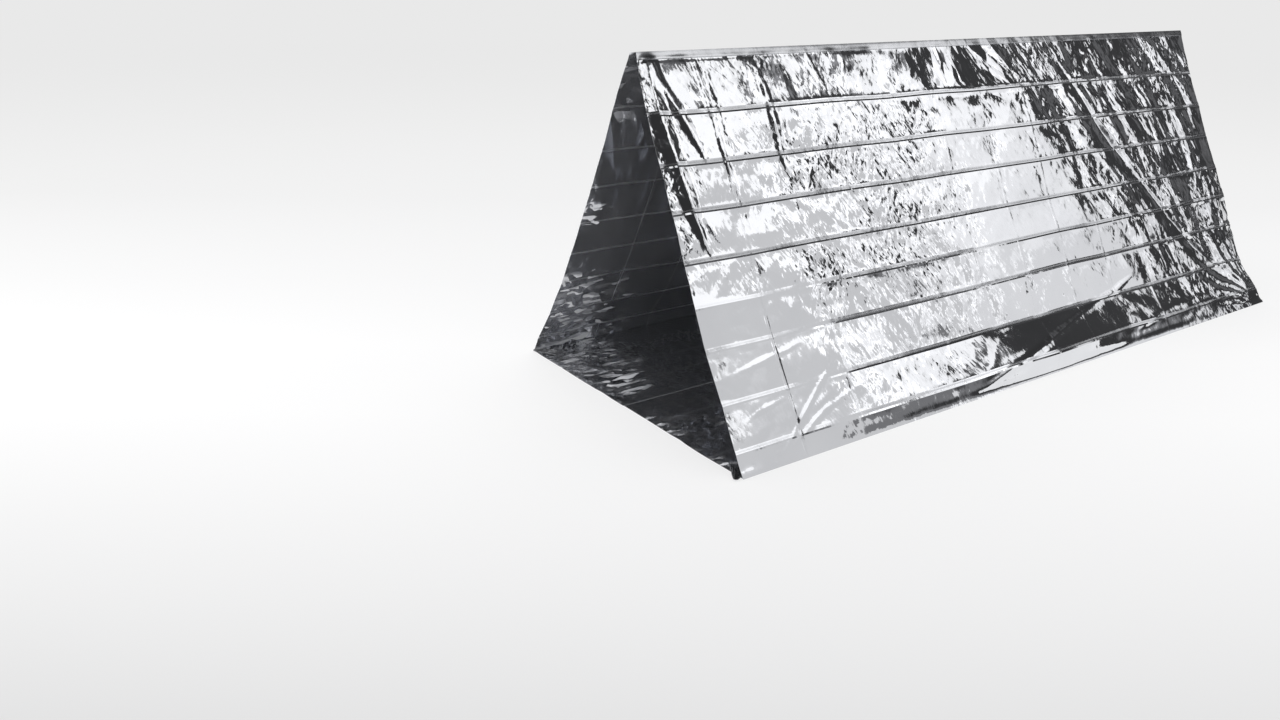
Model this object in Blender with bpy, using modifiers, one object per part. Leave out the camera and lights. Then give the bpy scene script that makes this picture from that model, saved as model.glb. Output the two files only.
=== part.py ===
"""Emergency tube tent: a triangular tube of thin metallised film, open at both ends.

Metres, +Z up. X runs along the ridge, and the wall that faces -Y is the front one. The origin is on
the ground under the middle of the ridge. The film is drawn thicker than it really is, so that each
face of the tube is a solid sheet. The inner faces of both walls meet on the ridge line.
"""

import math

import bmesh
import bpy

# Driving sizes of the standing tent.
TENT_LENGTH = 2.4
BASE_WIDTH = 0.98
RIDGE_HEIGHT = 0.904
FOOT_CREASE_HEIGHT = 0.256
WALL_BOW = 0.019
SHEET_THICKNESS = 0.0012
FIT_GAP = 0.0003

# Packing creases: strips along the tent, and the relief that they leave in the film.
STRIP_WIDTH = 0.1145
CREASE_DEPTH = 0.007
STRIP_BILLOW = 0.003
CROSS_CREASE_PITCH = 0.2
CROSS_CREASE_DEPTH = 0.0035
RIDGE_FOLD_DEPTH = 0.006
RIDGE_FOLD_REACH = 0.3

# The slack foot: swells along its strips and deep folds that run down to the base edge.
FOOT_SWELL = 0.011
FOOT_FOLD_DEPTH = 0.009
FOOT_FOLD_PITCH = 0.34
FOOT_EDGE_BAND = 0.012

# The lap seam along the ridge.
SEAM_WIDTH = 0.019
SEAM_THICKNESS = 0.0012

# Pinched corners.
CORNER_LENGTH = 0.115
CORNER_WIDTH = 0.062
CORNER_TIP_WIDTH = 0.014
CORNER_OVERHANG = 0.025
PLEAT_HEIGHT = 0.008
PLEATS = 5

# Mesh density, and the shares that give the folds their uneven rhythm.
WALL_COLUMNS = 24
FOOT_COLUMNS = 36
ROWS_PER_STRIP = 2
FOOT_ROWS = 8
CORNER_ROWS = 4
TOP_STRIP_MIN_SHARE = 0.75
PLEAT_TIP_SHARE = 0.5
RHYTHM_SHARES = (1.0, 0.61, 1.37)
RHYTHM_WEIGHT_SHARES = (0.5, 0.3, 0.2)

# Where each sheet's folds start, in radians, so that no two are alike.
FOLD_PHASES = {"front_wall": 0.4, "front_wall_foot": 0.9, "rear_wall": 2.1, "rear_wall_foot": 2.6}

# Each film's colour and roughness.
FILMS = {
    "wall_film": ((0.80, 0.81, 0.83), 0.16),
    "foot_film": ((0.76, 0.77, 0.79), 0.22),
    "floor_film": ((0.70, 0.71, 0.73), 0.26),
    "seam_film": ((0.82, 0.83, 0.85), 0.20),
    "corner_film": ((0.66, 0.67, 0.70), 0.24),
}

COLLECTION_NAME = "emergency_tube_tent"

# Lines that the sizes above fix, as (y, z) of the front half. The rear half mirrors them.
FLOOR_TOP = SHEET_THICKNESS
HALF_WIDTH = BASE_WIDTH / 2
HALF_LENGTH = TENT_LENGTH / 2
CHORD_ANGLE = math.atan2(RIDGE_HEIGHT, HALF_WIDTH)


def chord_half_width(height):
    """Half of the tent's width at a height, if its walls were flat."""
    return HALF_WIDTH * (1 - height / RIDGE_HEIGHT)


FOOT_CREASE_HALF_WIDTH = chord_half_width(FOOT_CREASE_HEIGHT) - WALL_BOW / math.sin(CHORD_ANGLE)
WALL_TILT = math.atan2(RIDGE_HEIGHT - FOOT_CREASE_HEIGHT, FOOT_CREASE_HALF_WIDTH)
WALL_SLOPE = math.hypot(RIDGE_HEIGHT - FOOT_CREASE_HEIGHT, FOOT_CREASE_HALF_WIDTH)
FOOT_TILT = math.atan2(FOOT_CREASE_HEIGHT, HALF_WIDTH - FOOT_CREASE_HALF_WIDTH)
BASE_HINGE_HEIGHT = FLOOR_TOP + FIT_GAP + SHEET_THICKNESS * math.cos(FOOT_TILT)
FLOOR_HINGE_HEIGHT = FLOOR_TOP + FIT_GAP / 2

# A corner's pleats stay under the foot, which leans in over them up to the tent's open end.
PLEAT_TOP = FLOOR_TOP + FIT_GAP + PLEAT_HEIGHT + SHEET_THICKNESS
FOOT_LEAN = PLEAT_TOP / math.tan(FOOT_TILT) + SHEET_THICKNESS / math.sin(FOOT_TILT) + FIT_GAP
OVERHANG_RUN = CORNER_OVERHANG * math.sqrt(2)
END_WIDTH = CORNER_TIP_WIDTH + (CORNER_WIDTH - CORNER_TIP_WIDTH) * OVERHANG_RUN / CORNER_LENGTH
CORNER_TIP_X = HALF_LENGTH + CORNER_OVERHANG
CORNER_TIP_Y = HALF_WIDTH - FOOT_LEAN + CORNER_OVERHANG - END_WIDTH / math.sqrt(2)


def clear_scene():
    """Remove what the file holds, so that the tent is alone in it."""
    for old in list(bpy.data.objects):
        bpy.data.objects.remove(old, do_unlink=True)


def new_material(name, colour, roughness):
    """A metallised finish."""
    material = bpy.data.materials.new(name)
    material.use_nodes = True
    shader = material.node_tree.nodes["Principled BSDF"]
    shader.inputs["Base Color"].default_value = (*colour, 1.0)
    shader.inputs["Roughness"].default_value = roughness
    shader.inputs["Metallic"].default_value = 1.0
    return material


def new_empty(name, location, parent=None):
    """A hinge line: an empty at its place, which carries the pieces that turn about it."""
    empty = bpy.data.objects.new(name, None)
    bpy.data.collections[COLLECTION_NAME].objects.link(empty)
    empty.parent = parent
    base = parent.location if parent else (0, 0, 0)
    empty.location = [end - start for end, start in zip(location, base)]
    return empty


def new_sheet(name, columns, rows, point, material):
    """A film face: a grid laid out by point(u, row), thickened towards its local +Z."""
    mesh = bpy.data.meshes.new(name)
    grid = bmesh.new()
    bmesh.ops.create_grid(grid, x_segments=columns, y_segments=rows, size=1.0)
    for vert in grid.verts:
        u = (vert.co.x + 1) / 2
        row = round((vert.co.y + 1) / 2 * rows)
        vert.co = point(u, row)
    bmesh.ops.recalc_face_normals(grid, faces=grid.faces)
    if sum(face.normal.z for face in grid.faces) < 0:
        bmesh.ops.reverse_faces(grid, faces=grid.faces)
    grid.to_mesh(mesh)
    grid.free()
    mesh.materials.append(material)
    sheet = bpy.data.objects.new(name, mesh)
    bpy.data.collections[COLLECTION_NAME].objects.link(sheet)
    thickness = sheet.modifiers.new("film_thickness", 'SOLIDIFY')
    thickness.thickness = SHEET_THICKNESS
    thickness.offset = 1.0
    return sheet


def place(sheet, hinge, location, tilt, turn=0.0):
    """Put a sheet in the tent's frame, under the hinge line that carries it."""
    sheet.parent = hinge
    centre = (0, 0, 0)
    while hinge:
        centre = [a + b for a, b in zip(centre, hinge.location)]
        hinge = hinge.parent
    sheet.location = [end - start for end, start in zip(location, centre)]
    sheet.rotation_euler = (tilt, 0, turn)


def ripple(distance, pitch, phase):
    """An uneven wave from 0 to 1: three sines of unlike pitch."""
    total = 0.0
    for rhythm, weight in zip(RHYTHM_SHARES, RHYTHM_WEIGHT_SHARES):
        total += weight * math.sin(math.tau * distance * rhythm / pitch + phase / rhythm)
    return (total + 1) / 2


def end_fade(x, margin):
    """Zero at the tent's open ends, one from a margin inwards."""
    return min(1.0, (HALF_LENGTH - abs(x)) / margin)


def wall_rows():
    """Heights up the wall's slope: each crease, each strip's middle and the seam's lower edge."""
    top = WALL_SLOPE - FIT_GAP
    seam_foot = top - SEAM_WIDTH - FIT_GAP
    creases = [FIT_GAP]
    while seam_foot - creases[-1] > STRIP_WIDTH * (1 + TOP_STRIP_MIN_SHARE):
        creases.append(creases[-1] + STRIP_WIDTH)
    creases.append(seam_foot)
    rows = []
    for low, high in zip(creases, creases[1:]):
        for step in range(ROWS_PER_STRIP):
            rows.append(low + (high - low) * step / ROWS_PER_STRIP)
    return rows + [seam_foot, top]


def new_wall(name, hinge, side, material):
    """A wall from the foot crease to the ridge, pleated by its packing creases."""
    rows = wall_rows()
    phase = FOLD_PHASES[name]
    last = len(rows) - 1

    def point(u, row):
        x = (u - 0.5) * TENT_LENGTH
        up = rows[row]
        if row == 0 or row >= last - 1:
            return (x, up, 0.0)
        crease, step = divmod(row, ROWS_PER_STRIP)
        fold = CREASE_DEPTH * (crease % 2) if step == 0 else CREASE_DEPTH / 2 + STRIP_BILLOW
        cross = CROSS_CREASE_DEPTH * ripple(x, CROSS_CREASE_PITCH * 2, phase + crease)
        reach = max(0.0, 1 - (WALL_SLOPE - up) / RIDGE_FOLD_REACH)
        hang = RIDGE_FOLD_DEPTH * reach * ripple(x, CROSS_CREASE_PITCH, phase)
        return (x, up, fold + (cross + hang) * end_fade(x, STRIP_WIDTH))

    wall = new_sheet(name, WALL_COLUMNS, last, point, material)
    y = side * FOOT_CREASE_HALF_WIDTH
    place(wall, hinge, (0, y, FOOT_CREASE_HEIGHT), WALL_TILT, math.pi if side > 0 else 0.0)


def new_foot(name, hinge, side, material):
    """The slack foot under a wall: it swells between its creases and folds down to the base edge."""
    crease_height = FOOT_CREASE_HEIGHT - BASE_HINGE_HEIGHT
    crease_inset = HALF_WIDTH - FOOT_CREASE_HALF_WIDTH
    reach = math.hypot(crease_height, crease_inset)
    tilt = math.atan2(crease_height, crease_inset) + math.asin(SHEET_THICKNESS / reach)
    slope = math.sqrt(reach ** 2 - SHEET_THICKNESS ** 2)
    bottom = FOOT_EDGE_BAND
    top = slope - FIT_GAP
    phase = FOLD_PHASES[name]

    def point(u, row):
        x = (u - 0.5) * TENT_LENGTH
        if row == 0:
            return (x, 0.0, -SHEET_THICKNESS)
        up = bottom + (top - bottom) * (row - 1) / (FOOT_ROWS - 1)
        share = up / slope
        swell = FOOT_SWELL * math.sin(math.pi * share) * (1 + math.cos(math.tau * 2 * share)) / 2
        lean = x + up * math.cos(phase + x / TENT_LENGTH)
        fold = FOOT_FOLD_DEPTH * ripple(lean, FOOT_FOLD_PITCH, phase) * math.sin(math.pi * share)
        relief = (swell + fold) * end_fade(x, STRIP_WIDTH)
        if row in (1, FOOT_ROWS):
            relief = 0.0
        return (x, up, relief - SHEET_THICKNESS)

    foot = new_sheet(name, FOOT_COLUMNS, FOOT_ROWS, point, material)
    place(foot, hinge, (0, side * HALF_WIDTH, BASE_HINGE_HEIGHT), tilt, math.pi if side > 0 else 0.0)


def new_floor_half(name, hinge, side, material):
    """Half of the floor, from the fold along its middle to a base edge."""
    def point(u, row):
        width = HALF_WIDTH - FIT_GAP / 2
        return ((u - 0.5) * TENT_LENGTH, (row - 0.5) * width, 0.0)

    half = new_sheet(name, 1, 1, point, material)
    middle = side * (HALF_WIDTH + FIT_GAP / 2) / 2
    place(half, hinge, (0, middle, 0), 0.0)


def new_ridge_seam(name, hinge, material):
    """The lap seam: a smooth band on the front wall's outer face, along the ridge."""
    top = WALL_SLOPE - FIT_GAP

    def point(u, row):
        return ((u - 0.5) * TENT_LENGTH, top - SEAM_WIDTH * (1 - row), SHEET_THICKNESS + FIT_GAP)

    seam = new_sheet(name, 1, 1, point, material)
    seam.modifiers["film_thickness"].thickness = SEAM_THICKNESS
    place(seam, hinge, (0, -FOOT_CREASE_HALF_WIDTH, FOOT_CREASE_HEIGHT), WALL_TILT)


def new_corner(name, hinge, end, side, material):
    """A base corner: pleated film that lies on the floor and runs out to a pinched tip."""
    columns = PLEATS * 2

    def point(u, row):
        along = row / CORNER_ROWS
        width = CORNER_WIDTH + (CORNER_TIP_WIDTH - CORNER_WIDTH) * along
        ridge = round(u * columns) % 2
        height = PLEAT_HEIGHT * ridge * (1 - along * (1 - PLEAT_TIP_SHARE))
        return ((u - 0.5) * width, CORNER_LENGTH * (along - 1), height)

    corner = new_sheet(name, columns, CORNER_ROWS, point, material)
    heading = math.atan2(-end, side)
    tip = (end * CORNER_TIP_X, side * CORNER_TIP_Y, FLOOR_TOP + FIT_GAP)
    place(corner, hinge, tip, 0.0, heading)


def build():
    """The whole tent, grouped by the hinge line that carries each face."""
    clear_scene()
    for old in list(bpy.data.collections):
        bpy.data.collections.remove(old)
    tent = bpy.data.collections.new(COLLECTION_NAME)
    bpy.context.scene.collection.children.link(tent)

    films = {film: new_material(film, *finish) for film, finish in FILMS.items()}

    front_base = new_empty("front_base_hinge", (0, -HALF_WIDTH, BASE_HINGE_HEIGHT))
    floor_middle = new_empty("floor_middle_hinge", (0, 0, FLOOR_HINGE_HEIGHT))
    rear_base = new_empty("rear_base_hinge", (0, HALF_WIDTH, BASE_HINGE_HEIGHT), floor_middle)

    new_wall("front_wall", front_base, -1, films["wall_film"])
    new_foot("front_wall_foot", front_base, -1, films["foot_film"])
    new_ridge_seam("ridge_seam", front_base, films["seam_film"])
    new_wall("rear_wall", rear_base, 1, films["wall_film"])
    new_foot("rear_wall_foot", rear_base, 1, films["foot_film"])
    new_floor_half("floor_front_half", None, -1, films["floor_film"])
    new_floor_half("floor_rear_half", floor_middle, 1, films["floor_film"])
    for end_name, end in (("near", -1), ("far", 1)):
        new_corner(end_name + "_front_corner", None, end, -1, films["corner_film"])
        new_corner(end_name + "_rear_corner", floor_middle, end, 1, films["corner_film"])


if __name__ == "__main__":
    build()
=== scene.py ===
"""Looks of the emergency tube tent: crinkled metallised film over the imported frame.

Metres, +Z up. The front wall faces -Y and the near open end is at -X. A place on a side of the tent
is given as x along the ridge and d, the distance down the film from the ridge.
"""

import math

import bpy
import numpy as np
from mathutils import Matrix, Vector


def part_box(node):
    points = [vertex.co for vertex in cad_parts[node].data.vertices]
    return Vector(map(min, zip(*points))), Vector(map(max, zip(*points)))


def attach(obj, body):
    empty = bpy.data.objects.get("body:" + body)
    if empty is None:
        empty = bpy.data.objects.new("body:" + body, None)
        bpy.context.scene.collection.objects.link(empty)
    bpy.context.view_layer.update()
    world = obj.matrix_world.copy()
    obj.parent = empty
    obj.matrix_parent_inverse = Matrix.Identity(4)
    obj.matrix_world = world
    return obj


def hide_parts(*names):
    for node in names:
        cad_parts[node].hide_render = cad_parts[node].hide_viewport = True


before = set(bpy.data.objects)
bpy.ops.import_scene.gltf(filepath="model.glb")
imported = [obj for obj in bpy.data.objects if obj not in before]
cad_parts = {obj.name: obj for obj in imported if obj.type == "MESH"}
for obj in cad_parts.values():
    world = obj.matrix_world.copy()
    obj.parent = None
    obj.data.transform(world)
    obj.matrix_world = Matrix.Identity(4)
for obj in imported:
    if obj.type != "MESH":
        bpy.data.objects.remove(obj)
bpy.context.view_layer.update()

bl_info = {
    "name": "Emergency tube tent film",
    "version": (1, 0, 0),
    "blender": (4, 5, 0),
    "location": "View3D > Sidebar > Tube tent",
    "description": "Dresses the packed tube tent in creased metallised film and sets its studio",
    "category": "Object",
}

# Lines of the frame, as (y, z) on the front side, and the distance down the film to each of them.
HALF_LENGTH = 1.2
RIDGE = np.array((0.0, 0.904))
FOOT_CREASE = np.array((-0.3296, 0.256))
BASE_EDGE = np.array((-0.49, 0.0006))
WALL_DROP = float(np.linalg.norm(FOOT_CREASE - RIDGE))
FOOT_DROP = float(np.linalg.norm(BASE_EDGE - FOOT_CREASE))
FULL_DROP = WALL_DROP + FOOT_DROP

# Packing creases: the distances down the film of the long ones, and the pitch and places of the cross ones.
LONG_CREASES = (0.0, 0.1557, 0.279, 0.393, 0.514, 0.622, WALL_DROP, 0.857, 0.972, FULL_DROP)
CROSS_PITCH = 0.2
PANELS = 12
CROSS_CREASES = tuple(column * CROSS_PITCH - HALF_LENGTH for column in range(1, PANELS))
# The first long crease that is on the slack foot, counted from the ridge.
FOOT_ROW = 7

# Half the width of the gentle side of a packing crease, and the width of its steep side.
GROOVE = 0.0048
STEEP = 0.0046
# How deep a long crease is, and how high a cross one stands.
LONG_DEPTH = 0.0012
CROSS_HEIGHT = 0.0006
# The film steps down beside the seam: how far from the ridge, how deep, and half its width.
SEAM_STEP = 0.021
SEAM_STEP_DEPTH = 0.0012
SEAM_STEP_HALF = 0.005

# The floor's edge and its fold, by distance from its middle, its long creases, and half the width of one.
FLOOR_EDGE = 0.4895
FLOOR_FOLD = 0.0003
FLOOR_CREASES = (0.13, 0.245, 0.36)
FLOOR_GROOVE = 0.006
# The floor's wrinkles fade out from RIM_START to RIM_END. Its lowest height, and its usual one above that.
RIM_START, RIM_END = 0.44, 0.488
FLOOR_LOW, FLOOR_RISE = 0.0003, 0.0012

# How far each long crease stands off the frame's plane, in even steps from the near end to the far end.
FRONT_STAND_OFF = (
    (0.0, 0.0, 0.0, 0.0, 0.0, 0.0, 0.0),
    (0.004, 0.003, 0.002, 0.001, 0.0, -0.001, -0.002),
    (-0.002, -0.001, 0.0, 0.001, 0.0016, 0.002, 0.002),
    (-0.004, -0.0035, -0.0032, -0.002, 0.0, 0.0015, 0.003),
    (-0.0065, -0.0045, -0.002, 0.0, 0.002, 0.0036, 0.005),
    (-0.004, -0.002, 0.0, 0.002, 0.004, 0.006, 0.008),
    (-0.003, -0.0023, -0.0013, 0.0, 0.0017, 0.0037, 0.006),
    (-0.004, -0.0035, -0.0005, -0.007, -0.013, -0.013, -0.012,
     -0.011, -0.009, -0.006, -0.004, -0.003, -0.003),
    (-0.001, -0.001, 0.0055, 0.0075, 0.0076, 0.015, 0.026,
     0.016, 0.0078, 0.0066, 0.006, 0.005, 0.003),
    (0.0, 0.0, 0.0, 0.0, 0.0, 0.0, 0.0),
)
REAR_STAND_OFF = (
    (0.0, 0.0, 0.0), (0.003, 0.001, 0.002), (0.0, 0.002, 0.001), (0.001, 0.0, 0.002),
    (0.003, 0.003, 0.0), (0.0, 0.002, 0.003), (0.0, 0.0, 0.0), (-0.003, -0.004, -0.003),
    (0.004, 0.012, 0.004), (0.0, 0.0, 0.0),
)

# The great valley of the front side, in two parts, and the long slack fold of its foot, as points (x, d).
GREAT_VALLEY = (
    (0.52, 0.26), (0.60, 0.37), (0.72, 0.51), (0.82, 0.65), (0.92, 0.77), (1.06, 0.89), (1.15, 0.98),
)
UPPER_VALLEY = ((0.38, 0.0), (0.42, 0.08), (0.48, 0.17), (0.56, 0.31), (0.66, 0.44))
FOOT_FOLD = ((-0.34, 1.004), (-0.14, 0.966), (0.02, 0.926), (0.21, 0.884), (0.40, 0.846), (0.54, 0.80))
# Single folds of the front side: points (x, d), height, half width.
FRONT_FOLDS = (
    (FOOT_FOLD, 0.0030, 0.014),
    (GREAT_VALLEY, -0.0068, (0.062, 0.022)),
    (UPPER_VALLEY, -0.0042, (0.046, 0.012)),
    (((0.62, 0.40), (0.75, 0.54), (0.86, 0.68), (0.97, 0.80), (1.08, 0.90)), 0.0020, 0.012),
    (((0.78, 0.73), (0.94, 0.83), (1.04, 0.89), (1.16, 0.984)), -0.0022, 0.020),
    (((0.42, 0.99), (0.60, 0.95), (0.90, 0.94), (1.14, 0.98)), 0.0022, 0.015),
    (((-1.09, 1.02), (-1.0, 0.95), (-0.90, 0.87), (-0.79, 0.79)), 0.0009, 0.009),
    (((-1.07, 1.01), (-0.90, 0.93), (-0.66, 0.87)), 0.0010, 0.010),
    (((-1.172, 0.796), (-1.10, 0.784), (-0.88, 0.75)), 0.0009, 0.009),
    (((-1.172, 0.913), (-1.10, 0.89), (-0.98, 0.87)), 0.0008, 0.008),
    (((-1.19, -0.10), (-1.15, 0.07), (-1.10, 0.17), (-1.05, 0.30)), 0.0036, 0.020),
    (((-1.185, -0.06), (-1.165, 0.16), (-1.153, 0.28), (-1.143, 0.39), (-1.13, 0.50)), 0.0062, 0.030),
    (((-1.17, 0.36), (-1.13, 0.45), (-1.11, 0.55)), 0.0020, 0.012),
    (((-1.13, 0.38), (-1.09, 0.46), (-1.05, 0.52)), 0.0018, 0.011),
    (((-1.04, -0.06), (-1.02, 0.08), (-1.00, 0.28), (-0.97, 0.45)), 0.0016, 0.010),
    (((-1.01, -0.02), (-0.985, 0.12), (-0.97, 0.30)), 0.0012, 0.007),
    (((-0.84, 0.02), (-0.825, 0.10), (-0.815, 0.28), (-0.80, 0.36)), 0.0034, 0.019),
    (((-0.66, -0.04), (-0.64, 0.06), (-0.60, 0.15)), 0.0024, 0.014),
)


# ---- Uneven numbers over a surface ----

# A seed picks one fixed pattern, and each pattern of the film has its own seed.

def lattice(i, j, seed):
    """A fixed random number from 0 to 1 for each whole place (i, j)."""
    mixed = (i * 374761393 + j * 668265263 + seed * 974711 + 12345) & 0xFFFFFFFF
    mixed = ((mixed ^ (mixed >> 13)) * 1274126177) & 0xFFFFFFFF
    return ((mixed ^ (mixed >> 16)) & 0xFFFFFF) / float(0xFFFFFF)


def smooth_step(value, low, high):
    """0 below low, 1 above high, and a smooth rise between them. Low above high turns it round."""
    share = np.clip((value - low) / (high - low), 0.0, 1.0)
    return share * share * (3 - 2 * share)


def peak(away, half_width):
    """1 at no distance away, and an even fall to 0 at half_width."""
    return np.clip(1 - away / half_width, 0, 1)


def area(x, d, along, down):
    """An area of the film, from 0 to 1, by the spans of x and of d over which it fades in."""
    return smooth_step(x, *along) * smooth_step(d, *down)


def waves(u, v, seed):
    """Smooth noise from 0 to 1, one hump a unit."""
    i, j = np.floor(u).astype(np.int64), np.floor(v).astype(np.int64)
    a, b = u - i, v - j
    a, b = a * a * (3 - 2 * a), b * b * (3 - 2 * b)
    low = lattice(i, j, seed) * (1 - a) + lattice(i + 1, j, seed) * a
    high = lattice(i, j + 1, seed) * (1 - a) + lattice(i + 1, j + 1, seed) * a
    return low * (1 - b) + high * b


def facets(u, v, seed):
    """Crumpled film, evenly above and below 0: flat facets that meet in sharp creases, one peak a unit."""
    i, j = np.floor(u).astype(np.int64), np.floor(v).astype(np.int64)
    best = np.full(u.shape, -9.0)
    for di in (-1, 0, 1):
        for dj in (-1, 0, 1):
            a, b = i + di, j + dj
            du = u - a - lattice(a, b, seed)
            dv = v - b - lattice(a, b, seed + 1)
            turn = lattice(a, b, seed + 2) * math.pi
            across = np.abs(du * np.cos(turn) + dv * np.sin(turn))
            along = np.abs(dv * np.cos(turn) - du * np.sin(turn))
            best = np.maximum(best, lattice(a, b, seed + 3) - 1.7 * across - 0.95 * along)
    return best - 0.27


def fold_line(x, d, points, height, half_width):
    """A raised fold along a line of points, narrowing to a point at both ends.

    half_width is a number, or two: the width of the flank towards the near end and of the other one.
    """
    nearest, side = np.full(x.shape, 9.0), np.zeros(x.shape)
    for (x0, d0), (x1, d1) in zip(points, points[1:]):
        dx, dd = x1 - x0, d1 - d0
        share = np.clip(((x - x0) * dx + (d - d0) * dd) / (dx * dx + dd * dd), 0, 1)
        away = np.hypot(x - x0 - share * dx, d - d0 - share * dd)
        side = np.where(away < nearest, (x - x0) * dd - (d - d0) * dx, side)
        nearest = np.minimum(nearest, away)
    ends = [np.hypot(x - a, d - b) for a, b in (points[0], points[-1])]
    size = 0.25 + 0.75 * smooth_step(np.minimum(*ends), 0.0, 0.14)
    fade = smooth_step(np.minimum(*ends), 0.0, 0.04)
    if not np.isscalar(half_width):
        half_width = np.where(side < 0, half_width[0], half_width[1])
    return height * fade * size * peak(nearest, half_width * size)


# ---- The film's relief ----

# How far a panel's corners stray from their table, on the wall and on the foot.
WALL_STRAY, FOOT_STRAY = 0.0042, 0.0025
# How far a panel swells in its middle, and the foot's share of that.
PANEL_SWELL, FOOT_SWELL = 0.0030, 0.35
# How far the packing creases wander along the film and down it.
WANDER_ALONG, WANDER_DOWN = 0.009, 0.0045


def strips(d):
    """How many long creases lie between the ridge and each place, parts of a strip included."""
    return np.interp(d, LONG_CREASES, np.arange(len(LONG_CREASES)))


def stand_off(x, d, table, seed):
    """Panels between the packing creases: each corner of a panel stands off by its own amount."""
    nodes = np.arange(PANELS + 1) - PANELS // 2
    share = nodes / (PANELS // 2)
    grid = []
    for row, line in enumerate(table):
        line = np.interp(share, np.linspace(-1, 1, len(line)), line)
        if 0 < row < len(table) - 1:
            stray = WALL_STRAY if row < FOOT_ROW else FOOT_STRAY
            line = line + stray * (lattice(nodes + 40, np.full(PANELS + 1, row), seed) - 0.5)
        grid.append(line)
    grid = np.array(grid)
    rows = strips(d)
    columns = np.clip((x + HALF_LENGTH) / CROSS_PITCH, 0, PANELS)
    r, c = np.minimum(rows.astype(int), len(table) - 2), np.minimum(columns.astype(int), PANELS - 1)
    a, b = columns - c, rows - r
    above = grid[r, c] * (1 - a) + grid[r, c + 1] * a
    below = grid[r + 1, c] * (1 - a) + grid[r + 1, c + 1] * a
    pillow = PANEL_SWELL * (lattice(c + 7, r, seed + 5) - 0.25) * np.sin(math.pi * a) * np.sin(math.pi * b)
    return above * (1 - b) + below * b + pillow * np.where(r < FOOT_ROW, 1.0, FOOT_SWELL)


def drift(x, d):
    """How far the packing creases wander over the film, so that none is dead straight."""
    inside = smooth_step(HALF_LENGTH - np.abs(x), 0.0, 0.05)
    held = smooth_step(d, 0.0, 0.05) * smooth_step(d, FULL_DROP, FULL_DROP - 0.05)
    along = WANDER_ALONG * (waves(x * 2.4, d * 6, 6) - 0.5) * inside
    return along, WANDER_DOWN * (waves(x * 5, d * 3, 5) - 0.5) * held


def crease_lines(x, d, seed, cross=0.6, taut=0.0):
    """The packing creases as sharp grooves, how dull each place is from one, and how near, from 0 to 1.

    A long groove falls gently above its line and rises steeply under it. Where the film is taut, from
    0 to 1, it is pulled out into a low ridge instead.
    """
    relief, dull, beside = np.zeros(x.shape), np.zeros(x.shape), np.zeros(x.shape)
    for row, crease in enumerate(LONG_CREASES[1:-1]):
        strength = 0.85 + 0.35 * waves(x * 7, np.full(x.shape, row * 3.7), seed + 9)
        strength = strength * (1 - 1.45 * taut)
        under = d - crease
        relief -= LONG_DEPTH * strength * peak(np.maximum(-under / (2 * GROOVE), under / STEEP), 1)
        dull = np.maximum(dull, np.abs(strength) * peak(np.abs(under + GROOVE), GROOVE))
        beside = np.maximum(beside, np.clip(2.6 - np.abs(under) / GROOVE, 0, 1))
    row = strips(d).astype(np.int64)
    for column, place in enumerate(CROSS_CREASES, 1):
        shown = 0.3 + 0.7 * lattice(row, np.full(x.shape, column), seed + 13)
        line = shown * peak(np.abs(x - place), GROOVE)
        relief += CROSS_HEIGHT * line
        dull = np.maximum(dull, cross * line)
    return relief, np.clip(dull, 0, 1), beside


def crumple(x, d, rough, seed):
    """Relief of two sizes of crumple, each deeper where the film is rougher. The finest is in the finish."""
    u = x + 0.02 * (waves(x * 14, d * 14, seed) - 0.5)
    v = d + 0.02 * (waves(x * 14 + 31, d * 14, seed + 1) - 0.5)
    coarse = facets(u / 0.085, v / 0.07, seed + 20)
    middle = facets(u / 0.036 + 9, v / 0.032, seed + 30)
    return (0.0006 + 0.0016 * rough) * coarse + (0.00005 + 0.0008 * rough) * middle


def beside_cross_creases(x, d, seed):
    """Where crumple gathers beside a cross crease, from 0 to 1: on one side of it, in some panels."""
    row = strips(d).astype(np.int64)
    column = np.rint((x + HALF_LENGTH) / CROSS_PITCH).astype(np.int64)
    away = x + HALF_LENGTH - column * CROSS_PITCH
    side = np.sign(lattice(row, column, seed) - 0.5)
    share = np.clip(1.1 * lattice(row, column, seed + 1) - 0.25, 0, 1)
    return share * smooth_step(np.abs(away - 0.014 * side), 0.045, 0.008)


def drape(x, d, lean, seed):
    """Places along and down the folds that hang from the ridge: these lean as they go and wander a little."""
    place = x - lean * d + 0.06 * (waves(x * 3, d * 3, seed) - 0.5)
    return place + 0.02 * (waves(x * 9, d * 6, seed + 1) - 0.5)


def broken(place, d, seed):
    """The same places for the finish, where each packing crease breaks the fine folds off."""
    row = strips(d).astype(np.int64)
    return place + 0.5 * lattice(row, row * 0, seed) + 0.5 * (lattice(row, row * 0, seed + 1) - 0.5) * d


def hanging(place, d, seed):
    """Relief of the folds that hang from the ridge: narrow across and long down the film."""
    broad = facets(place / 0.12, d / 0.42 + 3, seed + 40)
    narrow = facets(place / 0.05, d / 0.2 + 3, seed + 50)
    return 0.0036 * broad + 0.0010 * narrow


# Where the gathers of a base corner run together, as x and d, and the d that their angles are taken from.
GATHER_X, GATHER_D, GATHER_TURN = 1.19, 1.015, 1.02


def gathers(x, d, end, reach, count, seed):
    """Folds that run together at a base corner, as relief for each metre from it."""
    away = np.hypot(x - end * GATHER_X, d - GATHER_D)
    angle = np.arctan2(np.abs(x - end * GATHER_X) + 1e-6, GATHER_TURN - d)
    turn = (angle * count / math.pi + 0.5 * waves(away * 9, angle * 2, seed)) % 1.0
    return (np.abs(turn * 2 - 1) - 0.5) * away * smooth_step(away, reach, 0.08)


# The room between the walls when they lie folded: at the ridge, what each metre down adds, and whose it is.
FOLDED_ROOM, FOLDED_SPREAD = 0.0002, 0.088
FRONT_SHARE, REAR_SHARE = 0.65, 0.35


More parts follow.
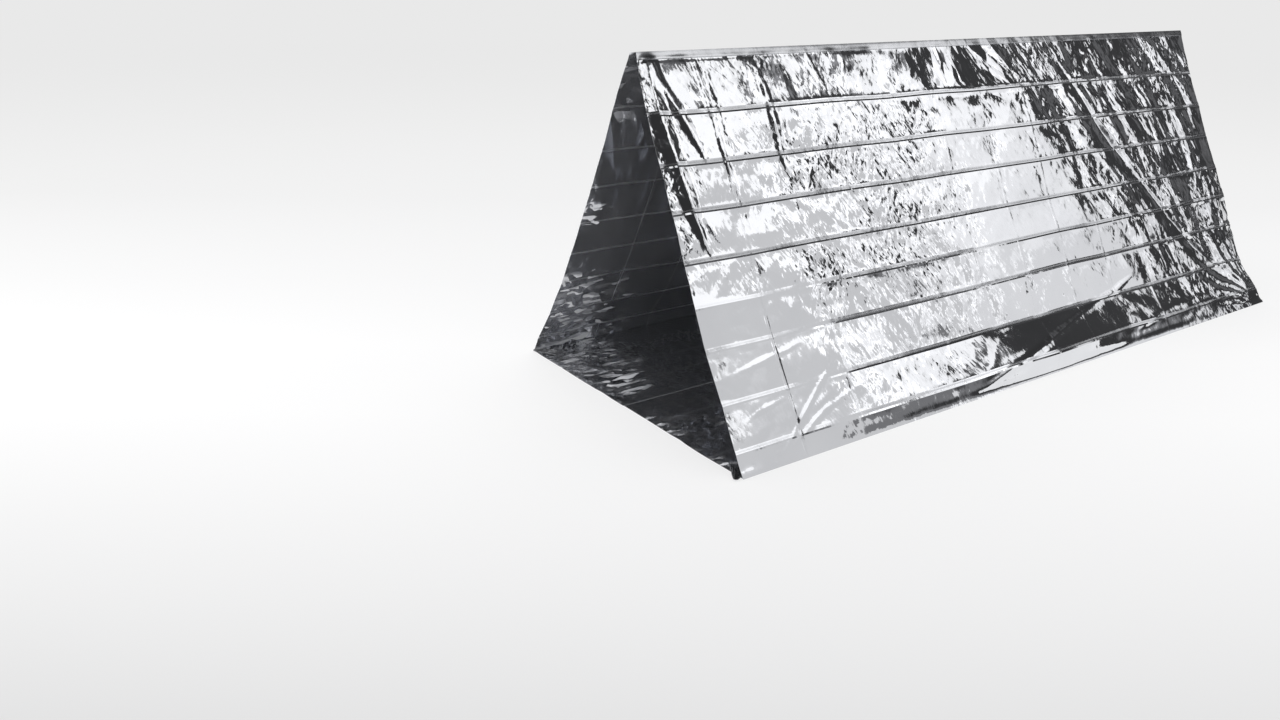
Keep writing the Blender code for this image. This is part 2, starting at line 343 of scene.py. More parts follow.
def clear_of_other_wall(relief, d, share):
    """Relief that sags inwards by no more than this share of the room between the folded walls."""
    room = share * (FOLDED_ROOM + FOLDED_SPREAD * d)
    return np.where(relief < 0, -room * np.tanh(-relief / room), relief)


def on_foot(d):
    """0 on the wall and 1 on the slack foot."""
    return smooth_step(d, WALL_DROP - 0.02, 0.80)


def patchy(rough, patch):
    """Roughness from 0 to 1, much more of it in some patches than in others."""
    return np.clip(rough * (0.35 + 1.2 * patch), 0.02, 1.0)


def front_roughness(x, d, right, patch):
    """How crumpled the front side's film is, from 0 to 1."""
    near_foot = area(x, d, (-0.78, -1.08), (0.54, 0.66))
    left_edge = area(x, d, (-1.06, -1.16), (0.62, 0.5))
    # It is densest left of the middle, and calm in the middle under the hanging folds.
    dense = smooth_step(x, -0.98, -0.74) * smooth_step(x, -0.12, -0.42)
    dense = dense * (0.35 + 0.65 * smooth_step(d, 0.12, 0.26)) * (1 - 0.7 * smooth_step(d, 0.52, 0.80))
    calm = smooth_step(x, -0.42, -0.3) * smooth_step(x, 0.62, 0.35) * smooth_step(d, 0.24, 0.34)
    rough = 0.14 + 0.78 * dense + 0.50 * right + 0.15 * left_edge
    rough = rough + 0.5 * beside_cross_creases(x, d, 305) * (1 - 0.3 * calm) * (1 - on_foot(d))
    return patchy(rough, patch) * (1 - 0.8 * near_foot) * (1 - 0.5 * smooth_step(d, 0.955, 0.98))


def front_film(x, d):
    """The front side's film: how far it stands off the frame's plane, and its maps for the finish."""
    base = stand_off(x, d, FRONT_STAND_OFF, 3)
    lines, dull, beside = crease_lines(x, d, 4, taut=area(x, d, (-0.70, -0.96), (0.55, 0.60)))
    # The first cross crease is pressed hard where it crosses the near foot.
    lines = lines - 0.0011 * smooth_step(d, 0.62, 0.68) * peak(np.abs(x - CROSS_CREASES[0]), GROOVE)
    lean = 0.35 - 0.65 * smooth_step(x, -0.95, -0.5)
    lean = lean + 0.80 * smooth_step(x, -0.35, 0.25) - 0.30 * smooth_step(x, 0.6, 1.15)
    place = drape(x, d, lean, 200)
    patch = waves(x * 4.2, d * 6.5, 301)

    # The boundary of the hard-creased right part runs down and to the right.
    right = smooth_step(x - 0.62 * d, 0.02, 0.22)
    top = smooth_step(d, 0.22, 0.12)
    hang = np.maximum(top * (0.25 + 0.75 * smooth_step(x, -0.5, -0.05)), right * smooth_step(d, 0.98, 0.72))
    rough = front_roughness(x, d, right, patch)

    relief = base + lines + crumple(x, d, rough, 100) * (1 - 0.8 * beside)
    folds = sum(fold_line(x, d, *fold) for fold in FRONT_FOLDS)
    relief = relief + folds * (1 - area(x, d, (-1.185, -1.197), (0.62, 0.5)))
    # The film steps down under the seam, most at the near end.
    step = SEAM_STEP_DEPTH * (0.35 + 0.65 * smooth_step(x, -0.8, -1.0))
    relief = relief - step * peak(np.abs(d - SEAM_STEP), SEAM_STEP_HALF)
    # The great valley that runs down to the far corner is clear of smaller folds.
    valley = fold_line(x, d, GREAT_VALLEY, 2.2, (0.078, 0.012))
    valley = np.clip(valley + fold_line(x, d, UPPER_VALLEY, 1.4, (0.06, 0.01)), 0, 1)
    hang = hang * (1 - 0.85 * valley)
    rough = rough * (1 - 0.6 * valley)
    relief = relief + hang * hanging(place, d, 200) * (1 - 0.5 * beside)

    # Slack folds of the foot, less at its taut near end, and the gathers that run to its far corner.
    swell = waves(x * 3.1 - d * 5, d * 7, 341) - 0.5
    slack = 1 - 0.9 * smooth_step(x, -0.6, -0.9)
    relief = relief + 0.004 * on_foot(d) * swell * slack * smooth_step(d, FULL_DROP, FULL_DROP - 0.09)
    relief = relief + 0.026 * gathers(x, d, 1.0, 0.42, 15, 351)
    # The film turns in at its far cut edge.
    relief = relief - 0.10 * np.maximum(x - 1.13, 0) * smooth_step(d, 0.15, 0.45)
    return clear_of_other_wall(relief, d, FRONT_SHARE), {
        "crumple": rough * (1 - 0.6 * beside), "crease": dull,
        "shards": hang * (0.7 + 0.3 * patch) * (1 - 0.6 * beside),
        "drape": broken(place, d, 380), "glint": x * 0,
    }


def rear_film(x, d):
    """The rear side's film, which hangs like the front one but crumples its own way.

    Here x runs from the far end, at -1.2, to the near one.
    """
    base = stand_off(x, d, REAR_STAND_OFF, 503)
    lines, dull, beside = crease_lines(x, d, 504, 1.3)
    place = drape(x, d, 0.3 - 0.5 * smooth_step(x, -0.5, 0.8), 700)
    patch = waves(x * 4.0, d * 6.0, 801)
    hang = smooth_step(d, 0.28, 0.10) * (0.35 + 0.7 * waves(x * 1.7, d, 802))
    hang = np.clip(hang + 0.8 * area(x, d, (0.35, 0.9), (0.9, 0.6)), 0, 1)
    rough = 0.12 + 0.7 * smooth_step(waves(x * 1.6, d * 2.2, 803), 0.35, 0.8)
    rough = patchy(rough + 0.45 * beside_cross_creases(x, d, 805) * (1 - on_foot(d)), patch)
    relief = base + lines + crumple(x, d, rough, 600) * (1 - 0.8 * beside)
    relief = relief + hang * hanging(place, d, 700)
    swell = waves(x * 2.7 - d * 4, d * 7, 841) - 0.5
    relief = relief + 0.006 * on_foot(d) * swell * smooth_step(d, FULL_DROP, FULL_DROP - 0.09)
    relief = relief + 0.026 * gathers(x, d, 1.0, 0.36, 12, 851) + 0.020 * gathers(x, d, -1.0, 0.3, 10, 852)

    # At the near end the film is plain by the ridge and crushed beside the ground.
    plain = area(x, d, (0.95, 1.1), (0.22, 0.15))
    crushed = area(x, d, (0.85, 1.16), (0.45, 0.75))
    torn = waves(x * 9, d * 9, 854)
    shards = hang * (0.4 + 0.6 * patch) + smooth_step(x, 0.98, 1.17) * waves(x * 7, d * 9, 853)
    # Light is caught inside both open ends, as facets leaning to the opening and a painted highlight: along
    # the cut edge, and low down beside the corners.
    edge = smooth_step(np.abs(x), 1.08, 1.19) * smooth_step(waves(x * 6, d * 12, 855), 0.25, 0.6)
    edge = edge * (0.25 + 0.75 * smooth_step(d, 0.22, 0.34))
    low = area(np.abs(x), d, (0.84, 1.12), (0.66, 0.92)) * smooth_step(torn, 0.1, 0.5)
    return clear_of_other_wall(relief, d, REAR_SHARE), {
        "crumple": rough + 1.4 * crushed * torn, "crease": dull, "shards": shards * (1 - 0.8 * plain),
        "drape": place, "glint": np.clip(1.2 * edge + 1.4 * low, 0, 1) * np.sign(x),
    }


# The film is held still at the ridge and at the base edge, and moves freely this far from each.
RIDGE_HELD, BASE_HELD = 0.03, 0.025


def side_place(x, d, relief):
    """Places in the tent's frame of film on the front side, relief included."""
    y, z = (
        np.interp(d, (0, WALL_DROP, FULL_DROP), (RIDGE[axis], FOOT_CREASE[axis], BASE_EDGE[axis]))
        for axis in (0, 1)
    )
    wall = (FOOT_CREASE - RIDGE) / WALL_DROP
    foot = (BASE_EDGE - FOOT_CREASE) / FOOT_DROP
    turn = smooth_step(d, WALL_DROP - 0.03, WALL_DROP + 0.03)
    out_y = wall[1] * (1 - turn) + foot[1] * turn
    out_z = -wall[0] * (1 - turn) - foot[0] * turn
    held = smooth_step(d, 0.0, RIDGE_HELD) * smooth_step(d, FULL_DROP, FULL_DROP - BASE_HELD)
    shift = relief * held
    return np.stack([x, y + out_y * shift, z + out_z * shift], -1)


def floor_film(x, y, seed):
    """The floor's film: wrinkles that only stand up, low beside the fold along the middle, and its maps."""
    out = np.abs(y)
    patch = waves(x * 3.5, y * 6, seed + 7)
    ends = smooth_step(np.abs(x), 0.7, 1.15)
    rough = np.clip(0.2 + 0.7 * patch * (0.5 + ends), 0.1, 1.0)
    relief = FLOOR_RISE + 0.7 * crumple(x, y, rough, seed)
    relief = relief + 0.006 * rough * facets(x / 0.11, y / 0.09, seed + 9)
    lines = np.zeros(x.shape)
    for place in CROSS_CREASES:
        lines = np.maximum(lines, 0.7 * peak(np.abs(x - place), FLOOR_GROOVE))
    for crease in FLOOR_CREASES:
        lines = np.maximum(lines, peak(np.abs(out - crease), FLOOR_GROOVE))
    room = smooth_step(out, 0.0, 0.12)
    relief = np.maximum(relief + 0.0005 * lines, 0) * room * smooth_step(out, RIM_END, RIM_START)
    relief = relief + FLOOR_RISE * smooth_step(out, RIM_START, RIM_END) + FLOOR_LOW
    # The open ends are crushed, most beside the rear wall, and light is caught there, as facets leaning to
    # the opening and a painted highlight.
    crushed = smooth_step(np.abs(x), 0.80, 1.15) * (0.3 + 0.7 * smooth_step(y, 0.0, 0.36))
    open_end = smooth_step(np.abs(x) + 0.16 * out, 0.98, 1.22)
    glint = 1.3 * open_end * smooth_step(waves(x * 8, y * 8, seed + 6), 0.3, 0.65)
    glint = glint * (0.45 + 0.55 * smooth_step(y, -0.3, 0.1))
    return relief, {
        "crumple": rough + 3.0 * crushed * waves(x * 8, y * 10, seed + 8), "crease": lines * 0.5,
        "shards": 2.0 * crushed, "drape": x + 0.6 * y, "glint": np.clip(glint, 0, 1) * np.sign(x),
    }


# ---- Shader wiring ----

class Wire:
    """One socket of a node tree. Sums and products of wires add Math nodes."""

    def __init__(self, graph, socket):
        self.graph, self.socket = graph, socket

    def math(self, operation, first, second=None, clamp=False):
        node = self.graph.tree.nodes.new("ShaderNodeMath")
        node.operation, node.use_clamp = operation, clamp
        for socket, value in zip(node.inputs, (first, second)):
            self.graph.feed(socket, value)
        return Wire(self.graph, node.outputs[0])

    def __add__(self, other):
        return self.math('ADD', self, other)

    def __sub__(self, other):
        return self.math('SUBTRACT', self, other)

    def __rsub__(self, other):
        return self.math('SUBTRACT', other, self)

    def __mul__(self, other):
        return self.math('MULTIPLY', self, other)

    def other(self, output):
        """Another output of the same node."""
        return Wire(self.graph, self.socket.node.outputs[output])

    def clamped(self):
        return self.math('ADD', self, 0.0, True)

    def absolute(self):
        return self.math('ABSOLUTE', self)


class Graph:
    """A material's nodes, added one by one."""

    def __init__(self, name):
        self.material = bpy.data.materials.new(name)
        self.material.use_nodes = True
        self.tree = self.material.node_tree
        self.shader = self.tree.nodes["Principled BSDF"]

    def feed(self, socket, value):
        if value is None:
            return
        if isinstance(value, Wire):
            self.tree.links.new(value.socket, socket)
        else:
            socket.default_value = value

    def add(self, kind, output, settings=None, **values):
        """A node with its settings set first, then its sockets. Returns one of its outputs."""
        node = self.tree.nodes.new("ShaderNode" + kind)
        for name, value in (settings or {}).items():
            if name == "stops":
                while len(node.color_ramp.elements) < len(value):
                    node.color_ramp.elements.new(0.5)
                for element, (place, colour) in zip(node.color_ramp.elements, value):
                    element.position, element.color = place, colour
            else:
                setattr(node, name, value)
        for name, value in values.items():
            self.feed(node.inputs[name.replace("_", " ")], value)
        return Wire(self, node.outputs[output])

    def finish(self, **values):
        for name, value in values.items():
            self.feed(self.shader.inputs[name.replace("_", " ")], value)
        return self.material


def vector(g, operation, first, second=None, third=None):
    """A Vector Math node on wires or on plain triples."""
    wire = g.add("VectorMath", "Vector", {"operation": operation})
    for socket, value in zip(wire.socket.node.inputs, (first, second, third)):
        g.feed(socket, value)
    return wire


def tilts(g, place, width, length, lean, bulge):
    """Flat facets of this width and length, as a lean of the film's normal along and down the sheet.

    Most facets lean a little and a few lean far. Each one also bulges slightly.
    """
    cells = vector(g, 'MULTIPLY', place, (1 / width, 1 / length, 0))
    pattern = g.add("TexVoronoi", "Color", {"voronoi_dimensions": '2D'}, Vector=cells, Scale=1.0)
    middle = pattern.other("Position")
    spread = vector(g, 'MULTIPLY_ADD', pattern, (2, 2, 0), (-1, -1, 0))
    farther = vector(g, 'MULTIPLY_ADD', vector(g, 'ABSOLUTE', spread), (0.8, 0.8, 0), (0.2, 0.2, 0))
    spread = vector(g, 'MULTIPLY', vector(g, 'MULTIPLY', spread, farther), (lean, lean * 0.8, 0))
    return vector(g, 'MULTIPLY_ADD', vector(g, 'SUBTRACT', cells, middle), (bulge, bulge, 0), spread)


def dot(g, place, direction):
    """How far a place lies along a direction."""
    wire = g.add("VectorMath", "Value", {"operation": 'DOT_PRODUCT'}, Vector=place)
    wire.socket.node.inputs[1].default_value = direction
    return wire


def skewed(g, place, lean):
    """A place on the film that slides along it as it goes down."""
    return g.add("CombineXYZ", "Vector", X=dot(g, place, (1, -lean, 0)), Y=dot(g, place, (0, 1, 0)))


def scaled(g, wire, amount):
    """A vector wire times a plain or wired number."""
    return g.add("VectorMath", "Vector", {"operation": 'SCALE'}, Vector=wire, Scale=amount)


def leaned(g, lean, more, amount):
    """A lean of the film's normal with an amount of another one added."""
    return vector(g, 'ADD', lean, scaled(g, more, amount))


def noise(g, place, scale, detail, output="Fac"):
    """Smooth noise over the film, as a number or as a colour."""
    return g.add("TexNoise", output, {"noise_dimensions": '2D'}, Vector=place, Scale=scale, Detail=detail)


def scraps(g, place, slant, pitch):
    """A random number for each slanted scrap of the film, with so many of them to the metre each way."""
    cells = vector(g, 'MULTIPLY', skewed(g, place, slant), pitch)
    cells = g.add("TexVoronoi", "Color", {"voronoi_dimensions": '2D'}, Vector=cells, Scale=1.0)
    return g.add("SeparateColor", "Blue", Color=cells)


# Facets of the hanging folds, broad and narrow: width, length, lean and bulge.
BROAD_SHARDS, NARROW_SHARDS = (0.042, 0.13, 0.17, 0.03), (0.013, 0.045, 0.15, 0.03)
# The three kinds of crumple, and the finest facets, which are everywhere: slant, and then the same.
CRUMPLE_FACETS = (
    (0.65, 0.0074, 0.038, 0.15, 0.03), (-0.40, 0.0090, 0.028, 0.13, 0.03), (0.25, 0.015, 0.022, 0.10, 0.04),
)
FINE_SLANT, FINE_FACETS = 0.3, (0.0048, 0.012, 0.11, 0.01)
# Long scraps and the short ones that cut corners into them: slant, and how many to the metre each way.
LONG_SCRAPS, SHORT_SCRAPS = (0.4, (24, 92, 0)), (-0.9, (46, 40, 0))


def film_lean(g, place, bend, crumpled, shards):
    """The film's places, bent a little, and how its normal leans over its fine facets.

    crumpled is how rough the film is at a place, and shards how far it hangs in folds there.
    """
    hung = g.add("Attribute", "Vector", {"attribute_name": "drape"})
    hung = vector(g, 'MULTIPLY_ADD', bend, (0.006, 0.02, 0), hung)
    bent = vector(g, 'MULTIPLY_ADD', bend, (0.008, 0.008, 0), place)
    # Each kind of crumple has its own patches of the film.
    patches = g.add("SeparateColor", "Red", Color=noise(g, place, 6.5, 2.0, "Color"))
    kinds = [(patches.other(channel) * 5.0 - 2.0).clamped() for channel in ("Red", "Green", "Blue")]
    lean = scaled(g, tilts(g, hung, *BROAD_SHARDS), shards)
    lean = leaned(g, lean, tilts(g, hung, *NARROW_SHARDS), shards * (kinds[0] * 0.7 + 0.3))
    # The hanging folds lean a little towards one end as a whole.
    lean = leaned(g, lean, (0.055, -0.005, 0.0), shards)
    for kind, (slant, *facets_of_kind) in zip(kinds, CRUMPLE_FACETS):
        lean = leaned(g, lean, tilts(g, skewed(g, bent, slant), *facets_of_kind), crumpled * kind)
    lean = leaned(g, lean, tilts(g, skewed(g, bent, FINE_SLANT), *FINE_FACETS), crumpled * 0.6 + 0.08)
    waver = vector(g, 'MULTIPLY_ADD', noise(g, place, 13.0, 4.0, "Color"), (0.04, 0.04, 0), (-0.02, -0.02, 0))
    return bent, vector(g, 'ADD', lean, waver)


def film_finish(name, colour, wear_and_shade_colour, roughness, crinkle, haze):
    """Metallised film: mirror bright, crisp facets where crumpled, hazy and in painted shade inside the tent.
    """
    g = Graph(name)
    place = g.add("UVMap", "UV", {"uv_map": "film"})
    crumpled, shards, crease, inside, glint = (
        g.add("Attribute", "Fac", {"attribute_name": kept})
        for kept in ("crumple", "shards", "crease", "inside", "glint")
    )
    bent, lean = film_lean(g, place, noise(g, place, 16.0, 2.0, "Color"), crumpled, shards)

    # Crushed film inside the tent catches the light from the open ends, in small crisp scraps, whose normals
    # lean towards the open end. The sign of the glint is the end that they lean to.
    chosen, cut = scraps(g, bent, *LONG_SCRAPS), scraps(g, bent, *SHORT_SCRAPS)
    share = chosen.other("Green")
    share = (share * share * 1.15 + 0.12).clamped()
    caught = (chosen * 12.0 - 4.8).clamped() * (cut * 14.0 - 5.4).clamped() * share * glint
    patch = noise(g, place, 9.0, 3.0)
    # Painted highlight: the caught scraps, and patches where the glint is, are painted in the clean colour
    # and made less mirror-like.
    painted_highlight = caught.absolute() * 0.95 + glint.absolute() * (patch * 3.0 - 1.4).clamped() * 0.18
    lean = leaned(g, lean, (1.15, 0.1, 0.0), caught * inside)
    facing = vector(g, 'MULTIPLY_ADD', lean, (0.5 * crinkle, 0.5 * crinkle, 0), (0.5, 0.5, 1.0))
    facing = g.add("NormalMap", "Normal", {"uv_map": "film"}, Color=facing)
    grain = noise(g, place, 420.0, 3.0)
    bump = g.add("Bump", "Normal", Strength=1.0, Distance=0.00002, Height=grain, Normal=facing)

    # The worn colour is mixed in at random and along the creases as wear, and all over the inside of the tent
    # as painted shade, except where the painted highlight is.
    cloud = noise(g, place, 7.0, 3.0)
    worn_and_shaded = (cloud * 0.6 + crease * 0.3 + inside * (1 - painted_highlight)).clamped()
    tone = g.add("Mix", "Result", {"data_type": 'RGBA'}, Factor=worn_and_shaded).socket.node
    for socket in tone.inputs:
        if socket.type == 'RGBA':
            socket.default_value = (*(colour if socket.name == "A" else wear_and_shade_colour), 1)
    tone = [socket for socket in tone.outputs if socket.type == 'RGBA'][0]
    dulled = (crease * (patch * 0.4 - 0.12).clamped() + haze + painted_highlight).clamped()
    return g.finish(
        Base_Color=Wire(g, tone), Metallic=1.0 - inside * dulled, Normal=bump,
        Roughness=(cloud * 0.04 + crease * 0.26 + inside * 0.06 + roughness).clamped(),
    )


# ---- Building pieces ----

def deselect():
    """Nothing selected, so that an operator acts on its own piece alone."""
    bpy.ops.object.select_all(action='DESELECT')


# The finish's patterns are even only over places above 0, so the film's places are kept with this much added.
FILM_SHIFT, DRAPE_SHIFT = 2, 4
# Edges bent by more degrees than this stay sharp.
SMOOTH_ANGLE = 50
# The height of the line along the tent's middle that tells a sheet's inside from its outside.
INNER_HEIGHT = 0.3


def read(items, field, width=1, kind=float):
    """A field of all of a mesh's points, edges or corners, as an array with so many numbers in a row."""
    values = np.empty(len(items) * width, dtype=kind)
    items.foreach_get(field, values)
    return values.reshape(-1, width)


def add_map(mesh, name, values, kind='FLOAT', field="value"):
    """Keep a number, or a triple, at each point of a mesh for its finish to read."""
    mesh.attributes.new(name, kind, 'POINT').data.foreach_set(field, values.astype(np.float32).ravel())


def new_sheet(name, xs, ds, laid, material, thickness, sharp=()):
    """A film sheet over the lines xs and ds, creased hard at the ds in sharp.

    laid(x, d) gives its places and its maps for the finish.
    """
    deselect()
    bpy.ops.mesh.primitive_grid_add(x_subdivisions=len(xs) - 1, y_subdivisions=len(ds) - 1, size=2.0)
    sheet = bpy.context.object
    sheet.name = sheet.data.name = name
    mesh = sheet.data
    flat = read(mesh.vertices, "co", 3)
    column = np.rint((flat[:, 0] + 1) / 2 * (len(xs) - 1)).astype(int)
    row = np.rint((flat[:, 1] + 1) / 2 * (len(ds) - 1)).astype(int)
    x, d = np.asarray(xs)[column], np.asarray(ds)[row]
    places, maps = laid(x, d)
    mesh.vertices.foreach_set("co", places.astype(np.float32).ravel())
    for kept in ("crumple", "crease", "shards", "glint"):
        add_map(mesh, kept, maps[kept])
    hung = np.stack([maps["drape"] + DRAPE_SHIFT, d + DRAPE_SHIFT, d * 0], -1)
    add_map(mesh, "drape", hung, 'FLOAT_VECTOR', "vector")
    corners = read(mesh.loops, "vertex_index", 1, np.int32)[:, 0]
    mesh.uv_layers[0].name = "film"
    film = np.stack([x[corners], d[corners]], -1) + FILM_SHIFT
    mesh.uv_layers["film"].uv.foreach_set("vector", film.astype(np.float32).ravel())
    ends = read(mesh.edges, "vertices", 2, np.int32)
    on_line = np.zeros(len(d), bool)
    for line in sharp:
        on_line |= np.abs(d - line) < 1e-6
    creased = on_line[ends].all(1) & (row[ends[:, 0]] == row[ends[:, 1]])
    mesh.attributes.new("sharp_edge", 'BOOLEAN', 'EDGE').data.foreach_set("value", creased)
    mesh.update()
    mesh.materials.append(material)
    solid = sheet.modifiers.new("film", 'SOLIDIFY')
    solid.thickness = thickness
    solid.offset = 1.0
    bpy.ops.object.modifier_apply(modifier=solid.name)
    mark_inside(mesh)
    bpy.ops.object.shade_smooth_by_angle(angle=math.radians(SMOOTH_ANGLE))
    deselect()
    return sheet


def mark_inside(mesh):
    """Mark with 1 the side of a sheet that faces into the tent, towards a line along its middle."""
    places, normals = read(mesh.vertices, "co", 3), read(mesh.vertices, "normal", 3)
    towards = (0.0, 0.0, INNER_HEIGHT) - places * (0, 1, 1)
    add_map(mesh, "inside", (towards * normals).sum(1) > 0)


# Where the extra grid lines beside a crease lie.
CREASE_STEPS = (-2 * GROOVE, -GROOVE, 0.0, STEEP, 2 * GROOVE)
# The grid lines that stay sharp: both sides and the bottom of each long groove.
SHARP_LINES = [crease + away for crease in LONG_CREASES[1:-1] for away in (-2 * GROOVE, 0.0, STEEP)]


def lines_between(low, high, step, creases=()):
    """Even lines from low to high, with extra ones beside each crease so that it stays sharp."""
    stops = [low, high] + [c + away for c in creases for away in CREASE_STEPS if low < c + away < high]
    stops = sorted(stops)
    lines = [low]
    for start, end in zip(stops, stops[1:]):
        count = max(1, round((end - start) / step))
        lines += list(np.linspace(start, end, count + 1)[1:])
    return np.array(lines)


# How far the near open end lies inside the frame's end, by the distance down the film.
NEAR_INSET = (
    (0.0, 0.015), (0.15, 0.001), (0.28, 0.004), (0.40, 0.008),
    (0.52, 0.007), (0.62, 0.002), (0.86, 0.003), (1.03, 0.0),
)
CUT_SEED = 21
# Grid lines down the seam. Spans and counts of a corner's grid lines, across it and from root to tip.
SEAM_LINES = 7
CORNER_GRID = ((-1, 1, 57), (1, 0, 33))
# How many pleats a corner is gathered into.
PLEATS = 7
# How far the film is drawn out at a far or rear corner, and at the near front one.
CORNER_FLARE, NEAR_FLARE = 0.020, 0.006


def flared(x, low_end, high_end):
    """x drawn out towards the pinched corners, by so many metres at its low and its high end."""
    return x + np.where(x < 0, -low_end, high_end) * smooth_step(np.abs(x), 1.02, 1.2) ** 2


def cut_edge(x, d):
    """The open ends aren't cut dead straight: x with its small wander near both ends."""
    inset = np.interp(d, *zip(*NEAR_INSET))
    wander = 0.003 * (waves(d * 14, np.zeros(d.shape), CUT_SEED) - 0.5)
    return x + (inset + wander) * smooth_step(x, -0.9, -1.2) + wander * smooth_step(x, 0.9, 1.2)


class FilmSizes(bpy.types.PropertyGroup):
    """Sizes of the film sheets."""

    grid: bpy.props.FloatProperty(
        name="Grid", description="Spacing of the sheets' grid", default=0.005, min=0.003, unit='LENGTH')
    floor_grid: bpy.props.FloatProperty(
        name="Floor grid", description="Spacing of the floor's grid",
        default=0.0065, min=0.003, unit='LENGTH')
    thickness: bpy.props.FloatProperty(
        name="Film", description="Drawn thickness of the film", default=0.0004, min=0.0001, unit='LENGTH')
    seam_width: bpy.props.FloatProperty(
        name="Seam width", description="Width of the lap seam along the ridge", default=0.019, unit='LENGTH')
    corner_length: bpy.props.FloatProperty(
        name="Corner length", description="Length of a pinched base corner", default=0.115, unit='LENGTH')


class FilmLooks(bpy.types.PropertyGroup):
    """Colour and finish of the film."""

    bright: bpy.props.FloatVectorProperty(
        name="Bright film", description="Colour of the clean film",
        default=(0.82, 0.83, 0.85), subtype='COLOR')
    # Also painted all over the inside of the tent, as painted shade.
    worn_and_shaded: bpy.props.FloatVectorProperty(
        name="Worn film", description="Colour of the film where it is creased",
        default=(0.70, 0.71, 0.74), subtype='COLOR')
    roughness: bpy.props.FloatProperty(
        name="Roughness", description="Roughness of the clean film",
        default=0.035, min=0, max=1, subtype='FACTOR')
    crinkle: bpy.props.FloatProperty(
        name="Crinkle", description="How far the small facets lean, against the usual", default=1.0, min=0)
    haze: bpy.props.FloatProperty(
        name="Haze", description="Share of scattered light inside the tent",
        default=0.10, min=0, max=1, subtype='FACTOR')


class StudioLooks(bpy.types.PropertyGroup):
    """The studio round the tent."""

    floor_colour: bpy.props.FloatVectorProperty(
        name="Floor", description="Colour of the studio floor", default=(0.84, 0.84, 0.85), subtype='COLOR')
    card_tone: bpy.props.FloatProperty(
        name="Cards", description="Brightness of the dark cards that the film mirrors", default=0.034, min=0)
    ambient: bpy.props.FloatProperty(
        name="Ambient", description="Brightness of the room light", default=0.88, min=0)
    lamp_distance: bpy.props.FloatProperty(
        name="Lamp distance", description="Distance of the soft boxes", default=14.0, unit='LENGTH')


def finish_of(name, roughness=0.0, crinkle=1.0, haze=1.0, tone=1.0):
    """The film material of this name, made once."""
    if name in bpy.data.materials:
        return bpy.data.materials[name]
    looks = bpy.context.scene.tube_film_looks
    bright, worn_and_shaded = ([channel * tone for channel in colour] for colour in (looks.bright, looks.worn_and_shaded))
    return film_finish(
        name, bright, worn_and_shaded, looks.roughness + roughness, looks.crinkle * crinkle, looks.haze * haze)


class TUBETENT_OT_front_side(bpy.types.Operator):
    """Lay the front wall and its foot"""

    bl_idname = "tubetent.front_side"
    bl_label = "Front side"

    def execute(self, context):
        sizes = context.scene.tube_film_sizes

        def laid(x, d):
            relief, maps = front_film(x, d)
            drift_x, drift_d = drift(x, d)
            down = smooth_step(d, 0.80, FULL_DROP) ** 2
            x = flared(cut_edge(x, d), NEAR_FLARE * down, CORNER_FLARE * down)
            return side_place(x + drift_x, d + drift_d, relief), maps

        xs = lines_between(-HALF_LENGTH, HALF_LENGTH, sizes.grid, CROSS_CREASES)
        for name, node, low, high, slot in (
            ("front_wall_top", "front_wall", 0.0, LONG_CREASES[3], "wall_film"),
            ("front_wall_bottom", "front_wall", LONG_CREASES[3], WALL_DROP, "wall_film"),
            ("front_foot", "front_wall_foot", WALL_DROP, FULL_DROP, "foot_film"),
        ):
            ds = lines_between(low, high, sizes.grid, (SEAM_STEP, *LONG_CREASES[1:-1]))[::-1]
            sheet = new_sheet(name, xs, ds, laid, finish_of(slot + "_looks"), sizes.thickness, SHARP_LINES)
            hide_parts(node)
            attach(sheet, "front_side")
        return {'FINISHED'}


class TUBETENT_OT_rear_side(bpy.types.Operator):
    """Lay the rear wall and its foot"""

    bl_idname = "tubetent.rear_side"
    bl_label = "Rear side"

    def execute(self, context):
        sizes = context.scene.tube_film_sizes

        def laid(x, d):
            relief, maps = rear_film(x, d)
            drift_x, drift_d = drift(x, d)
            wander = 0.002 * (waves(d * 14, d * 0, 71) - 0.5)
            down = np.clip(d / FULL_DROP, 0, 1)
            x = flared(x, CORNER_FLARE * down ** 4, CORNER_FLARE * down ** 2) + wander
            # The same side turned half round the upright through the tent's middle.
            return side_place(x + drift_x, d + drift_d, relief) * (-1, -1, 1), maps

        xs = lines_between(-HALF_LENGTH, HALF_LENGTH, sizes.grid, CROSS_CREASES)
        for name, node, low, high, slot in (
            ("rear_wall_top", "rear_wall", 0.0, LONG_CREASES[3], "wall_film"),
            ("rear_wall_bottom", "rear_wall", LONG_CREASES[3], WALL_DROP, "wall_film"),
            ("rear_foot", "rear_wall_foot", WALL_DROP, FULL_DROP, "foot_film"),
        ):
            ds = lines_between(low, high, sizes.grid, LONG_CREASES[1:-1])[::-1]
            sheet = new_sheet(name, xs, ds, laid, finish_of(slot + "_looks"), sizes.thickness, SHARP_LINES)
            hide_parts(node)
            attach(sheet, "rear_side")
        return {'FINISHED'}


